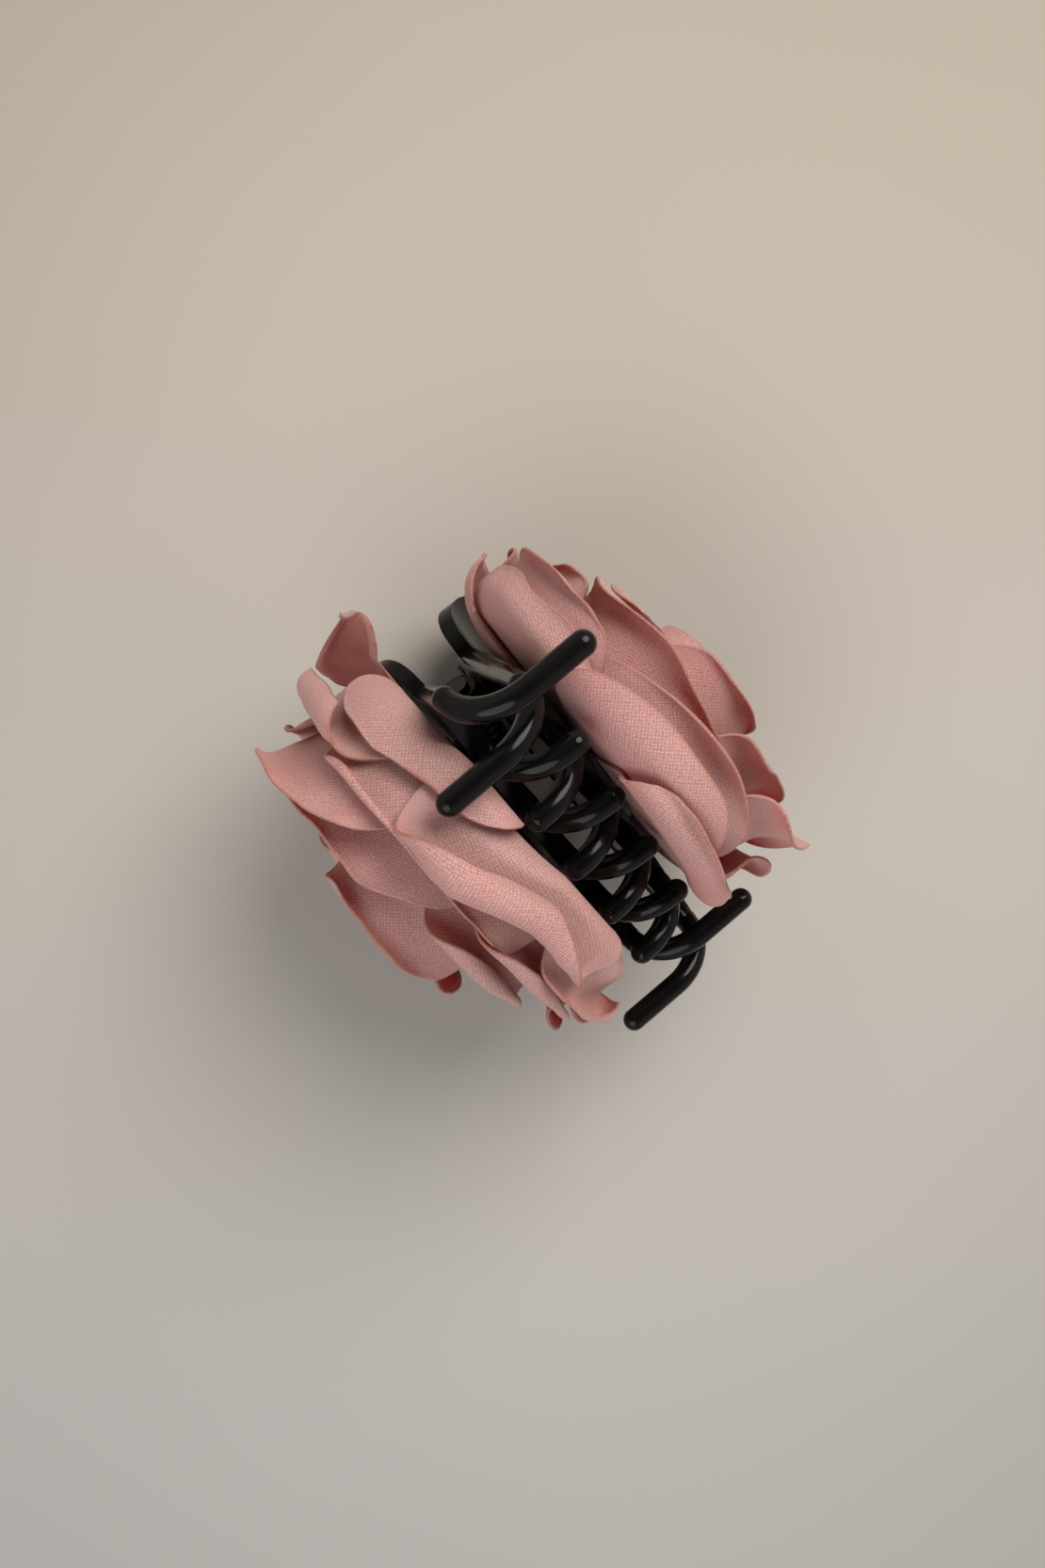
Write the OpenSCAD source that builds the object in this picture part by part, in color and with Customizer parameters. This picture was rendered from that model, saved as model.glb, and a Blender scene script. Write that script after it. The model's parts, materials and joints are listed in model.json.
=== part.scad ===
// Flower hair clip: a sprung plastic claw with a fabric rose on each half.
// The claw lies on the rims of its roses, teeth up, as it does on a table.
// Everything is drawn in millimetres. The hinge pin runs along the claw's own
// x axis, the fingers' levers point to +z and the teeth to -z before the
// finished claw is laid over by lay_angle.

/* [Claw] */
// distance between two teeth of one half
tooth_pitch = 10.8; // [8:0.1:14]
// number of teeth on each half
tooth_count = 6; // [4:1:8]
// thickness of a round tooth
tooth_d = 3; // [2:0.1:4]
// bend radius where a tooth turns in
tooth_bend = 7.1; // [5:0.1:9]
// distance from the hinge to the middle of the teeth's tips
tooth_drop = 33.7; // [28:0.1:40]
// how far the end teeth reach past the middle
end_reach = 10.7; // [6:0.1:12]
// how far the other teeth reach past the middle
mid_reach = 4.2; // [2:0.1:5]
// gap between the middle and the inner face of a half's plate
plate_inset = 2.7; // [2.5:0.1:4]
// thickness of a half's plate
plate_t = 2.7; // [2:0.1:4]

/* [Levers] */
// radius of a finger pad
pad_r = 8.4; // [7:0.2:10]
// thickness of a finger pad
pad_t = 2.2; // [1.6:0.1:3]
// outward lean of a finger pad, degrees
pad_lean = 4.5; // [3:0.5:6]
// radius of a finger pad's outward curve
flare_r = 18; // [16:1:24]

/* [Hinge] */
// diameter of the hinge pin
pin_d = 1.6; // [1.2:0.1:2]
// radial clearance of the pin in its lugs
pin_clear = 0.05; // [0.02:0.01:0.1]
// outer radius of a lug
lug_r = 2.4; // [2:0.1:2.6]
// width of a lug along the pin
lug_w = 1.8; // [1.4:0.1:2.2]
// wire diameter of the spring
wire_d = 0.8; // [0.6:0.05:1]
// mean radius of the spring's coil
coil_r = 1.65; // [1.5:0.05:1.75]
// length of the spring's coil along the pin
coil_len = 4.6; // [4:0.1:5]
// length of each leg of the spring
leg_len = 9.5; // [7:0.5:12]

/* [Roses] */
// thickness of a petal's fabric
petal_t = 0.4; // [0.3:0.05:0.6]
// radius of the stem in the middle of a rose
stem_r = 4; // [3:0.1:5]
// radius of the felt pad behind a rose
felt_r = 11; // [9:0.5:14]
// thickness of the felt pad
felt_t = 0.8; // [0.6:0.1:1.6]
// distance from the hinge to the middle of a rose, towards the teeth
rose_drop = 16; // [12:0.5:20]
// half the step between overlapping petals at their feet
tuck_foot = 0.45; // [0.4:0.05:0.6]
// half the step between overlapping petals at their walls
tuck_wall = 1; // [0.8:0.05:1.2]
// height of the slow waves along a petal's rim
petal_wave = 0.4; // [0:0.05:0.6]

/* [Resting] */
// roll of the claw about the line through both roses, degrees
lay_angle = 135; // [120:1:150]

/* [Petal shapes] */
// outer layer: wall radius, foot height, lean, bend radius
outer_layer = [26.2, 0.75, 10, 5];
// middle layer
mid_layer = [23, 2.5, 18, 5];
// inner layer
inner_layer = [18, 4.25, 14, 5];
// heart layer
heart_layer = [11.5, 6, 8, 4];
// left rose, outer petals: bearing, half width, wall height, roll of the lip, lip radius,
// then where they differ: sag, reach, which side of their neighbours the two edges take,
// and where across the petal the sag begins
left_outer = [
    [-29, 35, 2, 30, 1.8, 2.8, 0, [1, 1], -0.15],
    [17, 37, 3.4, 170, 2.6, 3.6],
    [74, 42, 2, 110, 2.6, 2],
    [132, 44, 2.5, 125, 2.4],
    [186, 36, 2.5, 125, 2.4],
    [264, 29, 1, 40, 3, 6.5, 5, [1, 1]],
    [290, 42, 3, 110, 2.4, 0, 0, [-0.8, -0.8]]
];
// left rose, middle petals
left_mid = [
    [-60, 46, 11, 40, 2.4, 0, 0, [-1, -1]],
    [-10, 44, 5, 140, 2.4, 0, 0, [1, 1]],
    [58, 46, 4, 110, 2.4],
    [122, 46, 5, 120, 2.4],
    [186, 46, 5, 130, 2.2],
    [250, 46, 8, 100, 2.4]
];
// left rose, inner petals
left_inner = [
    [-40, 58, 9.5, 40, 2],
    [56, 58, 6, 130, 2],
    [148, 58, 7, 120, 2],
    [236, 58, 6.5, 115, 2.2]
];
// left rose, heart petals
left_heart = [
    [10, 74, 11, 90, 1.6],
    [130, 74, 9.5, 100, 1.6],
    [250, 74, 10.5, 85, 1.6]
];
// right rose, outer petals
right_outer = [
    [-42, 36, 1, 25, 2.4, 0.8, 0, [-1, -1]],
    [16, 34, 1.2, 45, 2.6, -1, 1.2, [0, 0], -1.5],
    [47, 34, 0.5, 60, 2.6, 3.6, 0.2, [1, 1], -1.5],
    [124, 44, 2.5, 125, 2.4],
    [188, 36, 2.5, 125, 2.4],
    [252, 40, 0.6, 40, 3, -0.6]
];
// right rose, middle petals
right_mid = [
    [-56, 46, 3, 60, 2.4],
    [24, 46, 2.4, 45, 2.4],
    [90, 46, 4, 120, 2.6],
    [160, 46, 5, 120, 2.4],
    [234, 46, 4.5, 130, 2.2]
];
// right rose, inner petals
right_inner = [
    [-4, 58, 3.4, 100, 2.2],
    [84, 58, 5, 125, 2],
    [172, 58, 5, 120, 2],
    [262, 58, 4.5, 110, 2.2]
];
// right rose, heart petals
right_heart = [
    [50, 74, 8.5, 95, 1.6],
    [170, 74, 8, 90, 1.6],
    [290, 74, 6.5, 100, 1.6]
];

/* [Hidden] */
$fn = 48;
// which sub-part is drawn

tooth_r = tooth_d / 2;
tooth_y = plate_inset + plate_t - tooth_r - 0.04;
plate_out = plate_inset + plate_t;
plate_low = tooth_drop - tooth_bend - 0.6;
first_left = -(tooth_count - 0.5) / 2 * tooth_pitch;
first_right = first_left + tooth_pitch / 2;
end_x = -first_left;
rose_y = plate_out + felt_t + 0.02;
pad_y = 2.9;
pad_z = 4;
pad_mid = pad_r - 0.8;
flare_at = 4;
flare_out = pad_t + 4;
neck_w = 6.4;
lever_w = neck_w - 0.5;
neck_z = 6;
lug_in = 3.4;
lug_out = lug_in + lug_w + 0.2;

// one petal: a foot on the stem, a bend, a wall and a lip that rolls outward
petal_rows = [-1, 0, 0.22, 0.44, 0.64, 0.78, 0.9, 1];
petal_cols = 6;
function petal_u(c) = 2 * c / petal_cols - 1;
// a petal's outline is round: full length in the middle and little at its two edges
function cap_at(a) = max(0.15, pow(1 - pow(abs(a), 3), 1 / 3));
function reach_of(p) = len(p) > 6 ? p[6] : 0;
function foot_start(p) = (stem_r + 0.05) / cos(p[1] / 4);
function foot_end(l, p) = l[0] + reach_of(p) - l[3] * cos(l[2]);
function bend_len(l) = l[3] * (90 - l[2]) * PI / 180;
function petal_len(l, p) = bend_len(l) + p[2] + p[4] * p[3] * PI / 180;
// a lip curls tighter towards its edge
function curl_gain(p) = p[3] > 90 ? 205 / p[3] - 1 : 0.4;
function unit(v) = min(1, max(0, v));
function belly_at(l, p, s) = sin(180 * unit((s - 0.6 * bend_len(l)) / (0.4 * bend_len(l) + p[2] + 1.5)));
function lip_at(l, p, s) = max(0, s - bend_len(l) - p[2]) / p[4] * 180 / PI;
// the slope of the cloth and its place after a run of s beyond the foot
function petal_phi(l, p, s) =
    s <= 0 ? 90 :
    s < bend_len(l) ? 90 - s / l[3] * 180 / PI - 9 * belly_at(l, p, s) :
    let (turn = lip_at(l, p, s))
    l[2] + turn * (1 + curl_gain(p) * turn / p[3]) - 9 * belly_at(l, p, s);
function petal_mid(l, p, s) =
    s < 0 ? [foot_start(p), l[1]] :
    let (q = [for (i = [0.5:19.5]) petal_phi(l, p, s * i / 20)])
    let (ones = [for (v = q) s / 20])
    [foot_end(l, p) + [for (v = q) sin(v)] * ones, l[1] + [for (v = q) cos(v)] * ones];
function rise_at(l, s) = unit(s / bend_len(l));
function free_at(l, p, s) = unit((s - 0.5 * bend_len(l)) / (0.5 * bend_len(l) + p[2] + 1));
// some outer petals sag back over the teeth, on the side that lies over their neighbour
function sag_at(l, p, a, s) =
    len(p) < 6 ? 0 : p[5] * unit((a - (len(p) > 8 ? p[8] : -0.3)) / 0.5) * rise_at(l, s);
// an edge lies over its neighbour at 1 and under it at -1
function side_at(p, a) = let (e = len(p) > 7 ? p[7] : [-1, 1]) (e[0] + e[1]) / 2 + (e[1] - e[0]) / 2 * a;
function petal_rw(l, p, u, row, face) =
    let (a = sin(90 * u))
    let (s = row < 0 ? -1 : row * petal_len(l, p) * cap_at(a))
    let (q = petal_phi(l, p, s))
    let (tuck = tuck_foot + rise_at(l, s) * (tuck_wall - tuck_foot))
    let (wave = petal_wave * free_at(l, p, s) * sin(172 * u + 7 * p[0] + 7 * s))
    let (off = tuck * side_at(p, a) + wave + face * petal_t / 2)
    petal_mid(l, p, s) + off * [s < 0 ? 0 : cos(q), -sin(q)] - [0, sag_at(l, p, a, s)];
function petal_point(l, p, c, row, s) =
    let (u = petal_u(c))
    let (m = petal_rw(l, p, u, row, s))
    let (b = p[0] + p[1] * sin(90 * u))
    [-rose_drop * sin(lay_angle) - m[0] * sin(b), rose_y + m[1], -rose_drop * cos(lay_angle) + m[0] * cos(b)];
function petal_points(l, p) = [
    for (s = [-1, 1]) for (row = petal_rows) for (c = [0:petal_cols]) petal_point(l, p, c, row, s)
];

// the faces of a petal's two sides and of its rim
petal_nr = len(petal_rows);
petal_nc = petal_cols + 1;
function pid(s, r, c) = (s * petal_nr + r) * petal_nc + c;
function two(a, b, c, d) = [[a, b, c], [a, c, d]];
petal_quads = concat(
    [for (r = [0:petal_nr - 2]) for (c = [0:petal_nc - 2])
        two(pid(1, r, c), pid(1, r, c + 1), pid(1, r + 1, c + 1), pid(1, r + 1, c))],
    [for (r = [0:petal_nr - 2]) for (c = [0:petal_nc - 2])
        two(pid(0, r, c), pid(0, r + 1, c), pid(0, r + 1, c + 1), pid(0, r, c + 1))],
    [for (r = [0:petal_nr - 2])
        two(pid(1, r, 0), pid(1, r + 1, 0), pid(0, r + 1, 0), pid(0, r, 0))],
    [for (r = [0:petal_nr - 2])
        two(pid(1, r + 1, petal_cols), pid(1, r, petal_cols), pid(0, r, petal_cols), pid(0, r + 1, petal_cols))],
    [for (c = [0:petal_nc - 2])
        two(pid(1, 0, c + 1), pid(1, 0, c), pid(0, 0, c), pid(0, 0, c + 1))],
    [for (c = [0:petal_nc - 2])
        two(pid(1, petal_nr - 1, c), pid(1, petal_nr - 1, c + 1), pid(0, petal_nr - 1, c + 1), pid(0, petal_nr - 1, c))]
);
petal_faces = [for (q = petal_quads) for (t = q) t];

// where the claw's hinge lies so that the part stands on its roses, centred
left_points = concat(
    [for (p = left_outer) each petal_points(outer_layer, p)],
    [for (p = left_mid) each petal_points(mid_layer, p)]
);
right_points = concat(
    [for (p = right_outer) each petal_points(outer_layer, p)],
    [for (p = right_mid) each petal_points(mid_layer, p)]
);
rim_points = concat(left_points, right_points);
left_bud_top = 23.4;
right_bud_top = 20.4;
low_x = -(end_x + tooth_drop) * sin(lay_angle) - tooth_r;
high_x = max([for (v = rim_points) v[0]]);
lever_low = -(pad_z + pad_mid) * sin(lay_angle) - pad_r;
low_z = min(lever_low, min([for (v = rim_points) v[2]]));
place = [-(low_x + high_x) / 2, (right_bud_top - left_bud_top) / 2, -low_z];
echo(place = place, size_x = high_x - low_x);

module laid() {
    translate(place) rotate([0, lay_angle, 0]) children();
}

// a round tooth that turns in under the claw, ending in a ball
module tooth(x, reach) {
    translate([x, tooth_y - tooth_bend, -tooth_drop + tooth_bend])
        rotate([0, 90, 0])
        rotate_extrude(angle = 90)
        translate([tooth_bend, 0])
        circle(d = tooth_d);
    translate([x, tooth_y - tooth_bend, -tooth_drop])
        rotate([90, 0, 0])
        cylinder(d = tooth_d, h = reach + tooth_y - tooth_bend);
    translate([x, -reach, -tooth_drop]) sphere(d = tooth_d);
}

// the round rib from an end tooth's root, along the plate's edge to the neck
module edge_rib(x, to_x) {
    rise = neck_z + tooth_drop - tooth_bend;
    translate([x, tooth_y, -tooth_drop + tooth_bend]) sphere(d = tooth_d + 0.1);
    translate([x, tooth_y, -tooth_drop + tooth_bend])
        rotate([0, atan2(to_x - x, rise), 0])
        cylinder(d = tooth_d, h = norm([to_x - x, rise]));
}

module plate(x0) {
    x1 = x0 + (tooth_count - 1) * tooth_pitch;
    difference() {
        translate([0, plate_out, 0])
            rotate([90, 0, 0])
            linear_extrude(plate_t)
            polygon([
                [x0, -plate_low], [x1, -plate_low], [neck_w, neck_z], [-neck_w, neck_z]
            ]);
        translate([-lug_in + 0.1, 0, -4]) cube([2 * lug_in - 0.2, 10, 12]);
    }
}

module lever_outline() {
    translate([0, 0, pad_mid]) rotate([-90, 0, 0]) cylinder(r = pad_r, h = flare_out);
    translate([-lever_w, 0, 0]) cube([2 * lever_w, flare_out, pad_mid]);
}

module lever_sheet() {
    translate([-pad_r, 0, 0]) cube([2 * pad_r, pad_t, flare_at]);
    difference() {
        translate([-pad_r, flare_r, flare_at]) rotate([0, 90, 0]) cylinder(r = flare_r, h = 2 * pad_r, $fn = 96);
        translate([-pad_r - 1, flare_r, flare_at])
            rotate([0, 90, 0])
            cylinder(r = flare_r - pad_t, h = 2 * pad_r + 2, $fn = 96);
        translate([-pad_r - 1, -1, flare_at - 2 * flare_r]) cube([2 * pad_r + 2, 2 * flare_r + 2, 2 * flare_r]);
    }
}

module lever() {
    translate([0, pad_y, pad_z])
        rotate([-pad_lean, 0, 0])
        intersection() {
            lever_sheet();
            lever_outline();
        }
}

module lug(x) {
    translate([x, 0, 0]) rotate([0, 90, 0]) cylinder(r = lug_r, h = lug_w);
    translate([x, 0, -lug_r]) cube([lug_w, plate_inset + 1, 2 * lug_r]);
}

// one moulded half, drawn on the +y side
module half(x0, lug_x) {
    difference() {
        union() {
            for (i = [0:tooth_count - 1]) {
                tooth(x0 + i * tooth_pitch, i == 0 || i == tooth_count - 1 ? end_reach : mid_reach);
            }
            for (i = [1:tooth_count - 2]) {
                translate([x0 + i * tooth_pitch, tooth_y, -tooth_drop + tooth_bend]) cylinder(d = tooth_d, h = 8);
            }
            edge_rib(x0, 1.6 - neck_w);
            edge_rib(x0 + (tooth_count - 1) * tooth_pitch, neck_w - 1.6);
            plate(x0);
            lever();
            lug(lug_x);
            lug(-lug_x - lug_w);
        }
        translate([-20, 0, 0]) rotate([0, 90, 0]) cylinder(d = pin_d + 2 * pin_clear, h = 40);
    }
}

module left_jaw() {
    color([0.05, 0.045, 0.045]) laid() half(first_left, lug_out);
}

module right_jaw() {
    color([0.05, 0.045, 0.045]) laid() mirror([0, 1, 0]) half(first_right, lug_in);
}

module hinge_pin() {
    reach = lug_out + lug_w + 0.15;
    color([0.62, 0.62, 0.64]) laid() {
        translate([-reach, 0, 0]) rotate([0, 90, 0]) cylinder(d = pin_d, h = 2 * reach);
        translate([reach - 0.01, 0, 0]) rotate([0, 90, 0]) cylinder(d = pin_d + 1.2, h = 0.6);
        translate([-reach - 0.59, 0, 0]) rotate([0, 90, 0]) cylinder(d = pin_d + 1.2, h = 0.6);
    }
}

// the spring's wire: a leg along the right lever, the coil, a leg along the left lever
coil_from = 180 + pad_lean;
coil_turn = 4 * 360 - 180 - 2 * pad_lean;
coil_rings = round(8 * coil_turn / 360);
function coil_at(f) =
    let (a = coil_from + f * coil_turn)
    [-coil_len / 2 + f * coil_len, coil_r * cos(a), coil_r * sin(a), a];
function leg_at(f, q) =
    let (c = coil_at(f))
    let (d = f == 0 ? -1 : 1)
    [c[0], c[1] - d * q * sin(c[3]), c[2] + d * q * cos(c[3]), c[3]];
wire_path = concat(
    [leg_at(0, leg_len), leg_at(0, leg_len / 2)],
    [for (i = [0:coil_rings]) coil_at(i / coil_rings)],
    [leg_at(1, leg_len / 2), leg_at(1, leg_len)]
);
wire_sides = 6;
wire_points = [
    for (w = wire_path) for (k = [0:wire_sides - 1])
        let (e = 360 * k / wire_sides)
        [w[0] + wire_d / 2 * sin(e),
         w[1] + wire_d / 2 * cos(e) * cos(w[3]),
         w[2] + wire_d / 2 * cos(e) * sin(w[3])]
];
wire_n = len(wire_path);
function wid(i, k) = i * wire_sides + k % wire_sides;
wire_quads = [
    for (i = [0:wire_n - 2]) for (k = [0:wire_sides - 1])
        two(wid(i, k), wid(i, k + 1), wid(i + 1, k + 1), wid(i + 1, k))
];
wire_faces = concat(
    [for (q = wire_quads) for (t = q) t],
    [[for (k = [wire_sides - 1:-1:0]) wid(0, k)]],
    [[for (k = [0:wire_sides - 1]) wid(wire_n - 1, k)]]
);
fine = [for (i = [0:120]) coil_at(i / 120)];
spring_gap = min([
    for (i = [0:120]) for (j = [i + 1:120])
        if ((j - i) * coil_turn / 120 > 180)
        norm([fine[i][0] - fine[j][0], fine[i][1] - fine[j][1], fine[i][2] - fine[j][2]])
]) - wire_d;
echo(spring_gap = spring_gap);

module hinge_spring() {
    color([0.7, 0.7, 0.72]) laid() polyhedron(points = wire_points, faces = wire_faces);
}

// puts a rose's own axis, drawn upward, in the middle of a half's plate; side is 1 on the right
module rose_place(y, side) {
    laid() mirror([0, side, 0]) translate([0, y, -rose_drop]) rotate([-90, 0, 0]) children();
}

module felt(side) {
    color([0.16, 0.14, 0.14]) rose_place(plate_out + 0.01, side) cylinder(r = felt_r, h = felt_t);
}

module bud(top, side) {
    color([0.80, 0.46, 0.44]) rose_place(rose_y + 0.02, side) rotate_extrude() polygon([
        [0, 0], [stem_r, 0], [stem_r, 9], [6, 11], [7.6, 13], [8, top - 7],
        [7.4, top - 4.5], [6, top - 2], [4.6, top], [3.6, top - 0.5], [2, top - 5], [0, top - 7]
    ]);
}

module petal(l, p, side) {
    color([0.86, 0.54, 0.51]) translate(place) mirror([0, side, 0])
        polyhedron(points = petal_points(l, p), faces = petal_faces);
}

module left_felt() { felt(0); }
module right_felt() { felt(1); }
module left_bud() { bud(left_bud_top, 0); }
module right_bud() { bud(right_bud_top, 1); }
module left_outer_petal(i) { petal(outer_layer, left_outer[i - 1], 0); }
module left_mid_petal(i) { petal(mid_layer, left_mid[i - 1], 0); }
module left_inner_petal(i) { petal(inner_layer, left_inner[i - 1], 0); }
module left_heart_petal(i) { petal(heart_layer, left_heart[i - 1], 0); }
module right_outer_petal(i) { petal(outer_layer, right_outer[i - 1], 1); }
module right_mid_petal(i) { petal(mid_layer, right_mid[i - 1], 1); }
module right_inner_petal(i) { petal(inner_layer, right_inner[i - 1], 1); }
module right_heart_petal(i) { petal(heart_layer, right_heart[i - 1], 1); }

left_jaw();
right_jaw();
hinge_pin();
hinge_spring();
left_felt();
right_felt();
left_bud();
right_bud();
left_outer_petal(1);  // left_outer_petal_1
left_outer_petal(2);  // left_outer_petal_2
left_outer_petal(3);  // left_outer_petal_3
left_outer_petal(4);  // left_outer_petal_4
left_outer_petal(5);  // left_outer_petal_5
left_outer_petal(6);  // left_outer_petal_6
left_outer_petal(7);  // left_outer_petal_7
left_mid_petal(1);  // left_mid_petal_1
left_mid_petal(2);  // left_mid_petal_2
left_mid_petal(3);  // left_mid_petal_3
left_mid_petal(4);  // left_mid_petal_4
left_mid_petal(5);  // left_mid_petal_5
left_mid_petal(6);  // left_mid_petal_6
left_inner_petal(1);  // left_inner_petal_1
left_inner_petal(2);  // left_inner_petal_2
left_inner_petal(3);  // left_inner_petal_3
left_inner_petal(4);  // left_inner_petal_4
left_heart_petal(1);  // left_heart_petal_1
left_heart_petal(2);  // left_heart_petal_2
left_heart_petal(3);  // left_heart_petal_3
right_outer_petal(1);  // right_outer_petal_1
right_outer_petal(2);  // right_outer_petal_2
right_outer_petal(3);  // right_outer_petal_3
right_outer_petal(4);  // right_outer_petal_4
right_outer_petal(5);  // right_outer_petal_5
right_outer_petal(6);  // right_outer_petal_6
right_mid_petal(1);  // right_mid_petal_1
right_mid_petal(2);  // right_mid_petal_2
right_mid_petal(3);  // right_mid_petal_3
right_mid_petal(4);  // right_mid_petal_4
right_mid_petal(5);  // right_mid_petal_5
right_inner_petal(1);  // right_inner_petal_1
right_inner_petal(2);  // right_inner_petal_2
right_inner_petal(3);  // right_inner_petal_3
right_inner_petal(4);  // right_inner_petal_4
right_heart_petal(1);  // right_heart_petal_1
right_heart_petal(2);  // right_heart_petal_2
right_heart_petal(3);  // right_heart_petal_3
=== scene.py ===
import json
import math

import bmesh
import bpy
import numpy as np
from mathutils import Matrix, Vector


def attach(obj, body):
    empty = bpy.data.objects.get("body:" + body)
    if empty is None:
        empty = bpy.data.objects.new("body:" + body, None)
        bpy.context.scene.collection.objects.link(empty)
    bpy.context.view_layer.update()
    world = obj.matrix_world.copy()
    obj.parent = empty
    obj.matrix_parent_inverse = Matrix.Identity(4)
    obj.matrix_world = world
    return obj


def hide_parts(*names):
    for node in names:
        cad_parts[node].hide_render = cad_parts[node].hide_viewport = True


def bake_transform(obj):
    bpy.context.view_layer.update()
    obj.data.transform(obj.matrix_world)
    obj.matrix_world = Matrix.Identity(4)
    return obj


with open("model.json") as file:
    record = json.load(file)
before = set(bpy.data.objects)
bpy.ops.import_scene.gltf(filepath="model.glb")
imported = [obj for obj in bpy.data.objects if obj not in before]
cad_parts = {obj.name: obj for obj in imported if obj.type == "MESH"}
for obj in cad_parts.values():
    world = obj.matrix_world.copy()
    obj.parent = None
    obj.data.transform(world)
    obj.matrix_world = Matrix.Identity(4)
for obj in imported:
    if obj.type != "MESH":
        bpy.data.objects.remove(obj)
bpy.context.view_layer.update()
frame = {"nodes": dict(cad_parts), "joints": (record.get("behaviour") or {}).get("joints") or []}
hinge = Vector(frame["joints"][0]["pos_m"])

# Camera: almost straight down on the teeth, 177 mm above the hinge pin, as in the
# photograph. Its place and turn were fitted to the tooth tips, and its lens has
# 1350 px of focal length in a frame 1666 px high.
focal_px = 1350
frame_px = 1666
sensor_mm = 36
camera = bpy.data.objects.new("camera", bpy.data.cameras.new("camera"))
bpy.context.scene.collection.objects.link(camera)
camera.data.sensor_fit = "AUTO"
camera.data.sensor_width = sensor_mm
camera.data.lens = focal_px / frame_px * sensor_mm
camera.data.clip_start = 0.01
forward = Vector((-0.007, -0.045, -0.998)).normalized()
right = Vector((-0.643, -0.765, 0.0389))
right = (right - right.dot(forward) * forward).normalized()
up = right.cross(forward)
eye = hinge + Vector((-0.0091, 0.0095, 0.1766))
camera.matrix_world = Matrix(
    (
        (right.x, up.x, -forward.x, eye.x),
        (right.y, up.y, -forward.y, eye.y),
        (right.z, up.z, -forward.z, eye.z),
        (0, 0, 0, 1),
    )
)
bpy.context.scene.camera = camera
bpy.context.scene.view_settings.view_transform = "Standard"

# Floor: a pale cloth laid flat under the clip, 1.6 m across. It is a warm grey at the top of the
# picture and a cooler one at the bottom, with painted shade that dims it a little away from the
# clip, and faintly mottled.
warm_grey = (0.485, 0.428, 0.36, 1)
cool_grey = (0.465, 0.446, 0.425, 1)
# The multiplier below is painted shade for the floor far from the clip.
painted_far_shade = (0.85, 0.845, 0.84, 1)


def feed(tree, node, inputs):
    for socket, value in inputs.items():
        if isinstance(value, bpy.types.NodeSocket):
            tree.links.new(value, node.inputs[socket])
        else:
            node.inputs[socket].default_value = value


def add_node(tree, kind, inputs, **settings):
    node = tree.nodes.new(kind)
    for name, value in settings.items():
        setattr(node, name, value)
    feed(tree, node, inputs)
    return node


def new_finish(name):
    finish = bpy.data.materials.new(name)
    finish.use_nodes = True
    return finish, finish.node_tree, finish.node_tree.nodes["Principled BSDF"]


bpy.ops.mesh.primitive_plane_add(size=1.6, location=(0, 0, 0))
floor = bpy.context.object
floor.name = "floor"
floor_cloth, tree, surface = new_finish("floor_cloth")
spot = add_node(tree, "ShaderNodeTexCoord", {}).outputs["Object"]
down_picture = add_node(
    tree, "ShaderNodeVectorMath", {0: spot, 1: (-up.x, -up.y, 0)}, operation="DOT_PRODUCT"
)
cooler = add_node(
    tree,
    "ShaderNodeMapRange",
    {"Value": down_picture.outputs["Value"], "From Min": -0.10, "From Max": 0.09},
)
grey = add_node(
    tree,
    "ShaderNodeMix",
    {"Factor": cooler.outputs["Result"], "A": warm_grey, "B": cool_grey},
    data_type="RGBA",
)
# Painted shade: the grey is multiplied darker further from the clip, standing in for light that
# falls off towards the corners.
from_clip = add_node(tree, "ShaderNodeVectorMath", {0: spot}, operation="LENGTH")
painted_shade_ramp = add_node(
    tree,
    "ShaderNodeMapRange",
    {"Value": from_clip.outputs["Value"], "From Min": 0.075, "From Max": 0.15},
)
painted_shade_grey = add_node(
    tree,
    "ShaderNodeMix",
    {"Factor": painted_shade_ramp.outputs["Result"], "A": grey.outputs["Result"], "B": painted_far_shade},
    data_type="RGBA",
    blend_type="MULTIPLY",
)
noise = add_node(tree, "ShaderNodeTexNoise", {"Vector": spot, "Scale": 7, "Detail": 2})
mottled = add_node(
    tree,
    "ShaderNodeMix",
    {"Factor": 0.10, "A": painted_shade_grey.outputs["Result"], "B": noise.outputs["Fac"]},
    data_type="RGBA",
    blend_type="MULTIPLY",
)
feed(
    tree,
    surface,
    {"Base Color": mottled.outputs["Result"], "Roughness": 0.9, "Specular IOR Level": 0.2},
)
floor.data.materials.append(floor_cloth)

# Light: a wide soft key from the right rose's side, a softer fill from the left, and
# a pale room that is dim straight overhead, behind the camera.
lamps = (
    ("key", (0.08, -0.31, 0.45), 0.40, 2.75, (1.0, 0.97, 0.93)),
    ("fill", (-0.16, 0.42, 0.46), 0.60, 2.0, (0.97, 0.98, 1.0)),
)
lamp_aim = Vector((0, 0, 0.03))
world = bpy.data.worlds.new("room")
bpy.context.scene.world = world
world.use_nodes = True
tree = world.node_tree
facing = add_node(tree, "ShaderNodeTexCoord", {}).outputs["Generated"]
height = add_node(tree, "ShaderNodeSeparateXYZ", {"Vector": facing}).outputs["Z"]
room = add_node(
    tree,
    "ShaderNodeMapRange",
    {"Value": height, "From Min": 0.55, "From Max": 0.96, "To Min": 0.49, "To Max": 0.03},
)
feed(
    tree,
    tree.nodes["Background"],
    {"Color": (1.0, 0.97, 0.94, 1), "Strength": room.outputs["Result"]},
)
for name, place, size, power, tint in lamps:
    lamp = bpy.data.objects.new(name, bpy.data.lights.new(name, "AREA"))
    lamp.data.shape = "DISK"
    lamp.data.size = size
    lamp.data.energy = power
    lamp.data.color = tint
    lamp.location = place
    lamp.rotation_euler = (lamp_aim - Vector(place)).to_track_quat("-Z", "Y").to_euler()
    bpy.context.scene.collection.objects.link(lamp)

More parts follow.
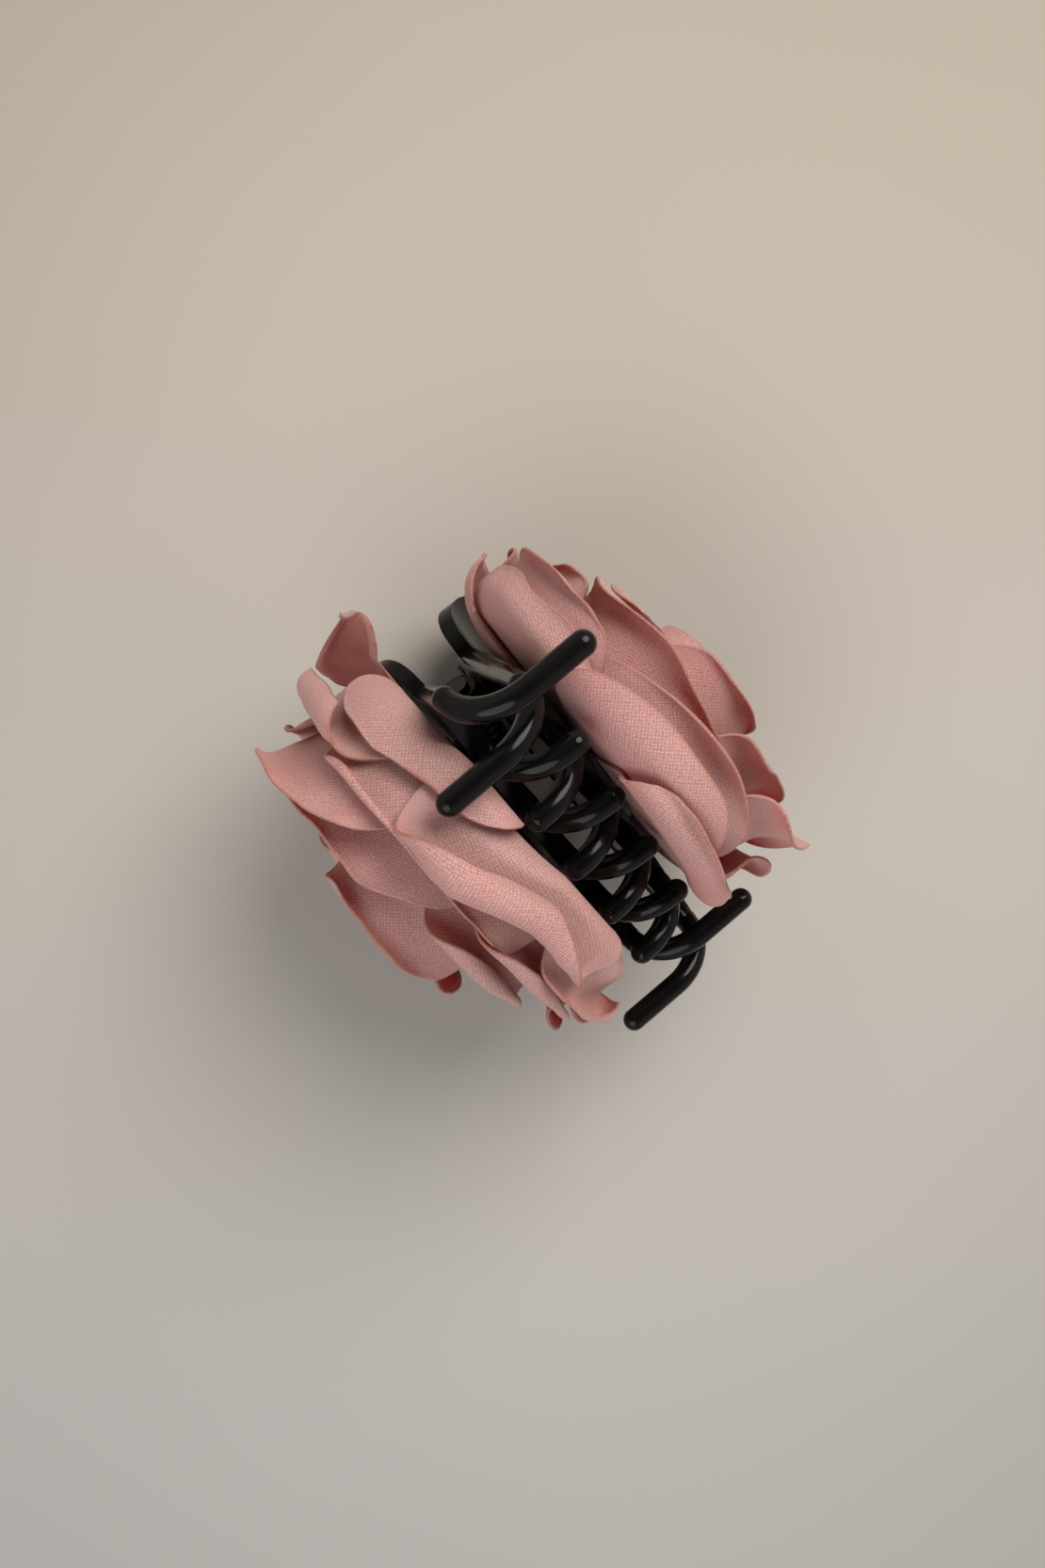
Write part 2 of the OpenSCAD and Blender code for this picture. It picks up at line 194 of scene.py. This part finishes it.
# Jaws: two mouldings of glossy black plastic, slightly uneven in the gloss. Each is
# one lever, plate, six teeth 3 mm thick and two hinge lugs; the solids carry the shape.
plastic, tree, surface = new_finish("black_plastic")
spot = add_node(tree, "ShaderNodeTexCoord", {}).outputs["Object"]
noise = add_node(tree, "ShaderNodeTexNoise", {"Vector": spot, "Scale": 260, "Detail": 4})
rough = add_node(
    tree,
    "ShaderNodeMapRange",
    {
        "Value": noise.outputs["Fac"],
        "From Min": 0.3,
        "From Max": 0.7,
        "To Min": 0.10,
        "To Max": 0.20,
    },
)
bump = add_node(
    tree,
    "ShaderNodeBump",
    {"Height": noise.outputs["Fac"], "Strength": 0.14, "Distance": 0.0004},
)
feed(
    tree,
    surface,
    {
        "Base Color": (0.004, 0.0035, 0.0035, 1),
        "Specular IOR Level": 0.2,
        "Roughness": rough.outputs["Result"],
        "Normal": bump.outputs["Normal"],
    },
)
for name in ("left_jaw", "right_jaw"):
    jaw = frame["nodes"][name]
    jaw.data.materials.clear()
    jaw.data.materials.append(plastic)

# Hinge: a dark steel pin 1.6 mm thick, and round it a torsion spring of 0.8 mm wire, wound nearly
# three and a half turns, with one leg on each lever.
half = math.sqrt(0.5)
lever_lean = math.radians(4.5)
coil_half = 0.0023
wire_steps = 260
wire_sides = 14
spring_sizes = {
    "Coil radius": 0.00165,
    "Coil length": 2 * coil_half,
    "Leg length": 0.0095,
    "First angle": math.pi + lever_lean,
    "Turn": math.radians(4 * 360 - 180) - 2 * lever_lean,
    "Wire radius": 0.0004,
}
steel, tree, surface = new_finish("spring_steel")
spot = add_node(tree, "ShaderNodeTexCoord", {}).outputs["Object"]
noise = add_node(tree, "ShaderNodeTexNoise", {"Vector": spot, "Scale": 900})
rough = add_node(
    tree,
    "ShaderNodeMapRange",
    {"Value": noise.outputs["Fac"], "To Min": 0.22, "To Max": 0.42},
)
feed(
    tree,
    surface,
    {
        "Base Color": (0.055, 0.053, 0.052, 1),
        "Metallic": 1,
        "Roughness": rough.outputs["Result"],
    },
)
pin = frame["nodes"]["hinge_pin"]
pin.data.materials.clear()
pin.data.materials.append(steel)

winding = bpy.data.node_groups.new("wound_spring", "GeometryNodeTree")
winding.interface.new_socket("Spring", in_out="OUTPUT", socket_type="NodeSocketGeometry")
size_inputs = {}
for name in spring_sizes:
    socket = winding.interface.new_socket(name, in_out="INPUT", socket_type="NodeSocketFloat")
    size_inputs[name] = socket.identifier
size = add_node(winding, "NodeGroupInput", {}).outputs


def wire_math(operation, first, second=0):
    node = add_node(winding, "ShaderNodeMath", {0: first, 1: second}, operation=operation)
    return node.outputs["Value"]


step_number = add_node(winding, "GeometryNodeInputIndex", {}).outputs["Index"]
coil_arc = wire_math("MULTIPLY", size["Coil radius"], size["Turn"])
both_legs = wire_math("MULTIPLY", size["Leg length"], 2)
step = wire_math("DIVIDE", wire_math("ADD", coil_arc, both_legs), wire_steps - 1)
run = wire_math("SUBTRACT", wire_math("MULTIPLY", step_number, step), size["Leg length"])
on_coil = wire_math("MINIMUM", wire_math("MAXIMUM", run), coil_arc)
on_leg = wire_math("SUBTRACT", run, on_coil)
share = wire_math("DIVIDE", on_coil, coil_arc)
angle = wire_math("ADD", size["First angle"], wire_math("MULTIPLY", share, size["Turn"]))
sine = wire_math("SINE", angle)
cosine = wire_math("COSINE", angle)
coil_y = wire_math("MULTIPLY", size["Coil radius"], cosine)
coil_z = wire_math("MULTIPLY", size["Coil radius"], sine)
wire_spot = add_node(
    winding,
    "ShaderNodeCombineXYZ",
    {
        "X": wire_math("MULTIPLY", wire_math("SUBTRACT", share, 0.5), size["Coil length"]),
        "Y": wire_math("SUBTRACT", coil_y, wire_math("MULTIPLY", on_leg, sine)),
        "Z": wire_math("ADD", coil_z, wire_math("MULTIPLY", on_leg, cosine)),
    },
)
line = add_node(winding, "GeometryNodeMeshLine", {"Count": wire_steps})
path = add_node(
    winding,
    "GeometryNodeSetPosition",
    {"Geometry": line.outputs["Mesh"], "Position": wire_spot.outputs["Vector"]},
)
curve = add_node(winding, "GeometryNodeMeshToCurve", {"Mesh": path.outputs["Geometry"]})
section = add_node(
    winding,
    "GeometryNodeCurvePrimitiveCircle",
    {"Resolution": wire_sides, "Radius": size["Wire radius"]},
)
wire = add_node(
    winding,
    "GeometryNodeCurveToMesh",
    {
        "Curve": curve.outputs["Curve"],
        "Profile Curve": section.outputs["Curve"],
        "Fill Caps": True,
    },
)
real = add_node(winding, "GeometryNodeRealizeInstances", {"Geometry": wire.outputs["Mesh"]})
coated = add_node(
    winding,
    "GeometryNodeSetMaterial",
    {"Geometry": real.outputs["Geometry"], "Material": steel},
)
add_node(winding, "NodeGroupOutput", {"Spring": coated.outputs["Geometry"]})
spring = bpy.data.objects.new("spring_wire", bpy.data.meshes.new("spring_path"))
bpy.context.scene.collection.objects.link(spring)
wound = spring.modifiers.new("wound", "NODES")
wound.node_group = winding
for name, value in spring_sizes.items():
    wound[size_inputs[name]] = value
evaluated = spring.evaluated_get(bpy.context.evaluated_depsgraph_get())
mesh = bpy.data.meshes.new_from_object(evaluated)
spring.modifiers.remove(wound)
mesh.name = "spring_wire"
mesh.transform(
    Matrix(
        (
            (-half, 0, half, hinge.x),
            (0, 1, 0, hinge.y),
            (-half, 0, -half, hinge.z),
            (0, 0, 0, 1),
        )
    )
)
mesh.polygons.foreach_set("use_smooth", [True] * len(mesh.polygons))
spring.data = mesh
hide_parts("hinge_spring")
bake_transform(spring)

# Felt pads: black felt discs 22 mm across and 0.8 mm thick, cut by hand with a
# slightly ragged edge, and glued between each jaw's plate and its rose. Sizes here
# and in the roses are in mm from the hinge.
rose_out = 16 * half
felt_from = 5.42
felt_rings = (0, 3, 6, 8.5, 10, 10.7, 11)
felt_r = felt_rings[-1]
felt_spokes = 96
# The face on the plate, then the one on the rose: place, side, share of puff and rings.
felt_faces = ((0.06, 1, 0.5, felt_rings), (0.72, -1, 1, felt_rings[::-1]))


def round_the_rose(radius, bearing, out):
    along = -rose_out - radius * np.sin(bearing)
    rise = rose_out + radius * np.cos(bearing)
    return np.stack((along, out, rise), axis=-1)


felt, tree, surface = new_finish("black_felt")
spot = add_node(tree, "ShaderNodeTexCoord", {}).outputs["Object"]
noise = add_node(tree, "ShaderNodeTexNoise", {"Vector": spot, "Scale": 2200, "Detail": 6})
fibres = add_node(tree, "ShaderNodeValToRGB", {"Fac": noise.outputs["Fac"]})
fibres.color_ramp.elements[0].color = (0.008, 0.007, 0.007, 1)
fibres.color_ramp.elements[1].color = (0.045, 0.042, 0.042, 1)
bump = add_node(
    tree,
    "ShaderNodeBump",
    {"Height": noise.outputs["Fac"], "Strength": 0.6, "Distance": 0.0003},
)
feed(
    tree,
    surface,
    {
        "Base Color": fibres.outputs["Color"],
        "Roughness": 1,
        "Sheen Weight": 0.4,
        "Normal": bump.outputs["Normal"],
    },
)
for rose, sign in (("left", 1), ("right", -1)):
    spin = np.arange(felt_spokes) / felt_spokes * math.tau
    points = []
    for place, side, ease, rings in felt_faces:
        for ring in rings:
            ragged = ring * (1 + 0.012 * np.sin(5 * spin + 1) + 0.008 * np.sin(13 * spin))
            rounded = (0.16 if ring == felt_r else 0.0) * side
            puff = 0.08 * np.sin(3 * spin + ring) * (ring / felt_r) + rounded
            points.append(round_the_rose(ragged, spin, felt_from + place + puff * ease * 0.4))
    points = np.concatenate(points)
    points[:, 1] *= sign
    faces = []
    for ring in range(2 * len(felt_rings) - 1):
        for spoke in range(felt_spokes):
            here = ring * felt_spokes + spoke
            beside = ring * felt_spokes + (spoke + 1) % felt_spokes
            faces.append((here, beside, beside + felt_spokes, here + felt_spokes))
    if sign > 0:
        faces = [face[::-1] for face in faces]
    mesh = bpy.data.meshes.new(f"{rose}_felt_pad")
    mesh.from_pydata((points / 1000 + np.array(hinge)).tolist(), [], faces)
    work = bmesh.new()
    work.from_mesh(mesh)
    bmesh.ops.remove_doubles(work, verts=work.verts, dist=1e-7)
    bmesh.ops.recalc_face_normals(work, faces=work.faces)
    work.to_mesh(mesh)
    work.free()
    mesh.polygons.foreach_set("use_smooth", [True] * len(mesh.polygons))
    mesh.materials.append(felt)
    pad = bpy.data.objects.new(f"{rose}_felt_pad", mesh)
    bpy.context.scene.collection.objects.link(pad)
    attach(pad, f"{rose}_half")
    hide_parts(f"{rose}_felt")

# Petal cloth: dusty pink plain weave, about 0.4 mm between threads, with uneven
# threads and dye, and with the cut edges browned and slightly melted by heat.
thread_shadow = (0.40, 0.160, 0.146, 1)
thread_light = (0.645, 0.415, 0.380, 1)
deep_dye = (0.93, 0.83, 0.81, 1)
edge_brown = (0.27, 0.105, 0.065, 1)
cloth, tree, surface = new_finish("petal_cloth")
flat_spot = add_node(tree, "ShaderNodeUVMap", {}, uv_map="cloth").outputs["UV"]
threads = []
for direction in ("X", "Y"):
    wave = add_node(
        tree,
        "ShaderNodeTexWave",
        {"Vector": flat_spot, "Scale": 8.0, "Distortion": 2.2, "Detail": 2, "Detail Scale": 1.6},
        bands_direction=direction,
    )
    threads.append(wave.outputs["Fac"])
weave = add_node(tree, "ShaderNodeMath", {0: threads[0], 1: threads[1]}, operation="MULTIPLY")
slub = add_node(
    tree,
    "ShaderNodeTexNoise",
    {"Vector": flat_spot, "Scale": 30, "Detail": 3, "Roughness": 0.65},
)
thread = add_node(
    tree,
    "ShaderNodeMath",
    {0: weave.outputs["Value"], 1: 0.38, 2: slub.outputs["Fac"]},
    operation="MULTIPLY_ADD",
)
fleck = add_node(tree, "ShaderNodeValToRGB", {"Fac": thread.outputs["Value"]})
fleck.color_ramp.elements[0].position = 0.35
fleck.color_ramp.elements[0].color = thread_shadow
fleck.color_ramp.elements[1].position = 0.88
fleck.color_ramp.elements[1].color = thread_light
tone = add_node(tree, "ShaderNodeTexNoise", {"Vector": flat_spot, "Scale": 1.6, "Detail": 3})
pool = add_node(
    tree,
    "ShaderNodeMapRange",
    {"Value": tone.outputs["Fac"], "From Min": 0.65, "From Max": 0.35, "To Max": 0.55},
)
dyed = add_node(
    tree,
    "ShaderNodeMix",
    {"Factor": pool.outputs["Result"], "A": fleck.outputs["Color"], "B": deep_dye},
    data_type="RGBA",
    blend_type="MULTIPLY",
)
edge = add_node(tree, "ShaderNodeAttribute", {}, attribute_name="edge")
burn = add_node(
    tree,
    "ShaderNodeMapRange",
    {
        "Value": edge.outputs["Fac"],
        "From Min": 0.05,
        "From Max": 0.38,
        "To Min": 0.72,
        "To Max": 0.0,
    },
)
browned = add_node(
    tree,
    "ShaderNodeMix",
    {"Factor": burn.outputs["Result"], "A": dyed.outputs["Result"], "B": edge_brown},
    data_type="RGBA",
)
bump = add_node(
    tree,
    "ShaderNodeBump",
    {"Height": thread.outputs["Value"], "Strength": 0.35, "Distance": 0.00012},
)
feed(
    tree,
    surface,
    {
        "Base Color": browned.outputs["Result"],
        "Roughness": 0.62,
        "Specular IOR Level": 0.6,
        "Sheen Weight": 0.12,
        "Sheen Tint": (1.0, 0.80, 0.76, 1),
        "Sheen Roughness": 0.45,
        "Subsurface Weight": 0.42,
        "Subsurface Radius": (1.0, 0.28, 0.23),
        "Subsurface Scale": 0.0018,
        "Normal": bump.outputs["Normal"],
    },
)

# Roses: petals of this cloth in four layers, each glued by its foot to the bud's stem,
# then pressed into a bend, a wall and a lip that rolls outward. They follow the same
# rule as their solids, with finer waves, dimples and puckers.
petal_out = 6.22
petal_rows = 52
petal_columns = 77
foot_rows = 8
stem_r = 4.05
rolled_lip = 205
# A layer is: radius of the wall, height of the foot, lean of the wall in degrees and
# radius of the bend.
layers = {
    "outer": (26.2, 0.75, 10, 5),
    "mid": (23, 2.5, 18, 5),
    "inner": (18, 4.25, 14, 5),
    "heart": (11.5, 6, 8, 4),
}
# A petal is: bearing and half width in degrees, height of the wall, roll of the lip in
# degrees, radius of the lip, sag, reach past the layer's wall, the side that its first
# and its last edge take, -1 inside or 1 outside, and where across it the sag begins.
# The last five may be left out.
plain_petal = (0, 0, -1, 1, -0.3)
roses = {
    "left": {
        "outer": [
            (-29, 35, 2, 30, 1.8, 2.8, 0, 1, 1, -0.15),
            (17, 37, 3.4, 170, 2.6, 3.6),
            (74, 42, 2, 110, 2.6, 2),
            (132, 44, 2.5, 125, 2.4),
            (186, 36, 2.5, 125, 2.4),
            (264, 29, 1, 40, 3, 6.5, 5, 1, 1),
            (290, 42, 3, 110, 2.4, 0, 0, -0.8, -0.8),
        ],
        "mid": [
            (-60, 46, 11, 40, 2.4, 0, 0, -1, -1),
            (-10, 44, 5, 140, 2.4, 0, 0, 1, 1),
            (58, 46, 4, 110, 2.4),
            (122, 46, 5, 120, 2.4),
            (186, 46, 5, 130, 2.2),
            (250, 46, 8, 100, 2.4),
        ],
        "inner": [
            (-40, 58, 9.5, 40, 2),
            (56, 58, 6, 130, 2),
            (148, 58, 7, 120, 2),
            (236, 58, 6.5, 115, 2.2),
        ],
        "heart": [
            (10, 74, 11, 90, 1.6),
            (130, 74, 9.5, 100, 1.6),
            (250, 74, 10.5, 85, 1.6),
        ],
    },
    "right": {
        "outer": [
            (-42, 36, 1, 25, 2.4, 0.8, 0, -1, -1),
            (16, 34, 1.2, 45, 2.6, -1, 1.2, 0, 0, -1.5),
            (47, 34, 0.5, 60, 2.6, 3.6, 0.2, 1, 1, -1.5),
            (124, 44, 2.5, 125, 2.4),
            (188, 36, 2.5, 125, 2.4),
            (252, 40, 0.6, 40, 3, -0.6),
        ],
        "mid": [
            (-56, 46, 3, 60, 2.4),
            (24, 46, 2.4, 45, 2.4),
            (90, 46, 4, 120, 2.6),
            (160, 46, 5, 120, 2.4),
            (234, 46, 4.5, 130, 2.2),
        ],
        "inner": [
            (-4, 58, 3.4, 100, 2.2),
            (84, 58, 5, 125, 2),
            (172, 58, 5, 120, 2),
            (262, 58, 4.5, 110, 2.2),
        ],
        "heart": [
            (50, 74, 8.5, 95, 1.6),
            (170, 74, 8, 90, 1.6),
            (290, 74, 6.5, 100, 1.6),
        ],
    },
}
# Some petals in front are cut shorter or pinched to a point between two fingers: the
# share of the length that is kept, and how far the tip is pinched.
trims = {
    ("right", "outer", 2): (0.78, 0),
    ("right", "mid", 3): (1, 1),
    ("right", "mid", 2): (1, 0.5),
    ("right", "inner", 1): (1, 0.8),
    ("right", "inner", 2): (1, 0.8),
    ("right", "heart", 1): (1, 0.5),
}
across = np.linspace(-1, 1, petal_columns)
spread = np.sin(np.pi / 2 * across)


def press_petal(petal, layer, kept, pinch, phases):
    sizes = petal + plain_petal[len(petal) - 5 :]
    bearing, half_width, wall, roll, lip_r = sizes[:5]
    sag, reach, first, last, sag_from = sizes[5:]
    wall_r, foot, lean, bend_r = layers[layer]
    tilt = math.radians(lean)
    bend = bend_r * (math.pi / 2 - tilt)
    lip = lip_r * math.radians(roll)

    # The cut rim: rounded to both sides, a little wavy, with one small corner.
    cap = np.maximum(0.15, (1 - np.abs(spread) ** 3) ** (1 / 3))
    corner = np.exp(-(((across - 0.4 * np.sin(phases[0])) / 0.13) ** 2))
    wavy = 0.05 * np.sin(4.5 * across + phases[1]) + 0.02 * np.sin(11 * across + phases[2])
    wavy = wavy + 0.03 * corner
    wavy = wavy + 0.1 * pinch * np.exp(-((across / 0.16) ** 2))
    length = (bend + wall + lip) * kept * cap * (1 + wavy * cap)
    climb = np.linspace(0, 1, petal_rows)[:, None] * length

    # The profile: bend, bellied wall and lip, which curls tighter towards its edge.
    on_lip = np.maximum(climb - bend - wall, 0)
    on_lip = on_lip * (1 - 0.75 * pinch * np.exp(-((across / 0.3) ** 2)))
    tighter = rolled_lip / roll - 1 if roll > 90 else 0.4
    curl = 1 + 0.06 * np.sin(3.1 * across + phases[3]) + tighter * (on_lip / lip)
    belly = np.sin(np.pi * np.clip((climb - 0.6 * bend) / (0.4 * bend + wall + 1.5), 0, 1))
    turned = np.where(climb < bend, math.pi / 2 - climb / bend_r, tilt + on_lip / lip_r * curl)
    turned = turned - 0.16 * belly
    turned = np.vstack((turned[:1], turned[:1], turned, turned[-1:], turned[-1:]))
    turned = (turned[:-4] + 2 * turned[1:-3] + 3 * turned[2:-2] + 2 * turned[3:-1] + turned[4:]) / 9
    step = np.diff(climb, axis=0)
    between = (turned[1:] + turned[:-1]) / 2
    start = np.zeros((1, petal_columns))
    radius = wall_r + reach - bend_r * math.cos(tilt)
    radius = radius + np.cumsum(np.vstack((start, step * np.sin(between))), axis=0)
    height = foot + np.cumsum(np.vstack((start, step * np.cos(between))), axis=0)

    # Off the profile: the edges' sides, slow folds, ripples, dimples and fine puckers.
    rise = np.clip(climb / bend, 0, 1)
    free = np.clip((climb - 0.5 * bend) / (0.5 * bend + wall + 1), 0, 1)
    off = (0.45 + 0.55 * rise) * ((first + last) / 2 + (last - first) / 2 * spread)
    fold = np.sin(np.radians(172 * across + 7 * bearing + 7 * climb))
    off = off + free * (0.4 * fold + 0.2 * np.sin(7.5 * across + phases[5] - 0.2 * climb))
    off = off + 0.28 * free * np.sin(6 * across + phases[4]) * np.sin(0.55 * climb + phases[8])
    pucker = np.sin(24 * across + phases[6] + 2 * np.sin(5 * across + 0.3 * climb))
    off = off + 0.08 * free**2 * pucker
    drop = sag * np.clip((spread - sag_from) / 0.5, 0, 1) * rise

    # The foot: flat from the stem to the bend.
    stem = stem_r / math.cos(math.radians(half_width / 4))
    on_foot = np.linspace(0, 1, foot_rows + 1)[:-1, None]
    foot_radius = stem + (radius[:1] - stem) * on_foot
    foot_height = height[:1] - off[:1] + 0 * on_foot
    radius = np.vstack((foot_radius, radius + off * np.cos(turned)))
    height = np.vstack((foot_height, height - off * np.sin(turned) - drop))
    return round_the_rose(radius, np.radians(bearing + half_width * spread), petal_out + height)


dice = np.random.default_rng(7)
pieces = []
for rose, sign in (("left", 1), ("right", -1)):
    for layer, petals in roses[rose].items():
        for number, petal in enumerate(petals, 1):
            kept, pinch = trims.get((rose, layer, number), (1, 0))
            grid = press_petal(petal, layer, kept, pinch, dice.uniform(0, math.tau, 9))
            name = f"{rose}_{layer}_petal_cloth_{number}"
            node = f"{rose}_{layer}_petal_{number}"
            pieces.append((name, node, rose, sign, grid, "gathered", f"{rose}_bud"))

# Buds: in the middle of each rose a strip of the same cloth, rolled up 2.6 turns and
# glued to the felt. It is 8 mm across at the stem and 15 mm at the widest, with a
# sunk heart.
bud_out = 6.24
bud_turns = 2.6
bud_rows = 44
bud_columns = 201
bud_radii = (3.9, 3.9, 5.8, 7.3, 7.7, 7.1, 5.8, 4.6)
for rose, sign, top in (("left", 1, 23.4), ("right", -1, 20.4)):
    bud_heights = (0, 9, 11, 13, top - 7, top - 4.5, top - 2, top)
    rolled = np.linspace(0, 1, bud_columns)
    rim = top - 5.5 * (1 - rolled) ** 1.6 + 0.5 * np.sin(17 * rolled + sign)
    bearing = 2 * math.pi * bud_turns * rolled + sign
    grid = []
    for share in np.linspace(0, 1, bud_rows):
        height = 1 + share * (rim - 1)
        radius = np.interp(height, bud_heights, bud_radii)
        radius = radius * (0.17 + 0.81 * rolled) + 0.10 * np.sin(9 * rolled + 3 * share) * share
        radius = radius + 0.9 * share**8 * rolled
        grid.append(round_the_rose(radius, bearing, bud_out + height))
    name = f"{rose}_bud_cloth"
    node = f"{rose}_bud"
    pieces.append((name, node, rose, sign, np.array(grid), "folded", f"{rose}_felt"))

# Cloth: every petal and bud is a single layer 0.28 mm thick, cut on the cross, with a
# thin melted bead along its edge. Each grid becomes a closed sheet that keeps its own
# flat measure for the weave, and is eased up where it would go through the floor.
half_thick = 0.14
edge_bead = 0.07
bead_reach = 0.3
floor_gap = 0.0001
floor_ease = 0.0003
more_burn = 0.2
cross_cut = (0.35, 1.2)
weave_unit = 10
for name, node, rose, sign, grid, held, rests in pieces:
    rows, columns = grid.shape[:2]
    layer_size = rows * columns
    crossed = np.cross(np.gradient(grid, axis=0), np.gradient(grid, axis=1))
    patch = np.linalg.norm(crossed, axis=2)
    normal = crossed / patch[:, :, None]
    run = np.cumsum(np.linalg.norm(np.diff(grid, axis=0, prepend=grid[:1]), axis=2), axis=0)
    span = np.cumsum(np.linalg.norm(np.diff(grid, axis=1, prepend=grid[:, :1]), axis=2), axis=1)
    span = span - span[:, columns // 2 : columns // 2 + 1]
    rim_gap = np.minimum(run[-1:] - run, np.minimum(span - span[:, :1], span[:, -1:] - span))
    bead = edge_bead * np.exp(-((rim_gap / bead_reach) ** 2))
    thick = (half_thick + bead)[:, :, None] * normal
    points = np.concatenate(((grid + thick).reshape(-1, 3), (grid - thick).reshape(-1, 3)))
    points[:, 1] *= sign
    points = points / 1000 + np.array(hinge)
    above = (points[:, 2] - floor_gap) / floor_ease
    points[:, 2] = floor_gap + floor_ease * np.logaddexp(0, above)
    faces = []
    for row in range(rows - 1):
        for column in range(columns - 1):
            here = row * columns + column
            faces.append((here, here + columns, here + columns + 1, here + 1))
            here += layer_size
            faces.append((here, here + 1, here + columns + 1, here + columns))
    rim = [row * columns for row in range(rows)]
    rim += [(rows - 1) * columns + column for column in range(1, columns)]
    rim += [row * columns + columns - 1 for row in range(rows - 2, -1, -1)]
    rim += list(range(columns - 2, 0, -1))
    for here, beside in zip(rim, rim[1:] + rim[:1]):
        faces.append((here, here + layer_size, beside + layer_size, beside))
    if sign < 0:
        faces = [face[::-1] for face in faces]
    mesh = bpy.data.meshes.new(name)
    mesh.from_pydata(points.tolist(), [], faces)
    mesh.polygons.foreach_set("use_smooth", [True] * len(mesh.polygons))
    edge_at = np.tile(rim_gap.reshape(-1), 2) + dice.uniform(0, more_burn)
    edge = mesh.attributes.new("edge", "FLOAT", "POINT")
    edge.data.foreach_set("value", edge_at.astype(np.float32))
    bias = dice.uniform(*cross_cut)
    warp = math.cos(bias) * span - math.sin(bias) * run
    weft = math.sin(bias) * span + math.cos(bias) * run
    flat = np.stack((warp.reshape(-1), weft.reshape(-1)), axis=1) / weave_unit
    flat = np.tile(flat, (2, 1))
    corners = np.empty(len(mesh.loops), np.int32)
    mesh.loops.foreach_get("vertex_index", corners)
    weave_map = mesh.uv_layers.new(name="cloth")
    weave_map.data.foreach_set("uv", flat[corners].astype(np.float32).reshape(-1))
    mesh.materials.append(cloth)
    sheet = bpy.data.objects.new(name, mesh)
    bpy.context.scene.collection.objects.link(sheet)
    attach(sheet, f"{rose}_half")
    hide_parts(node)
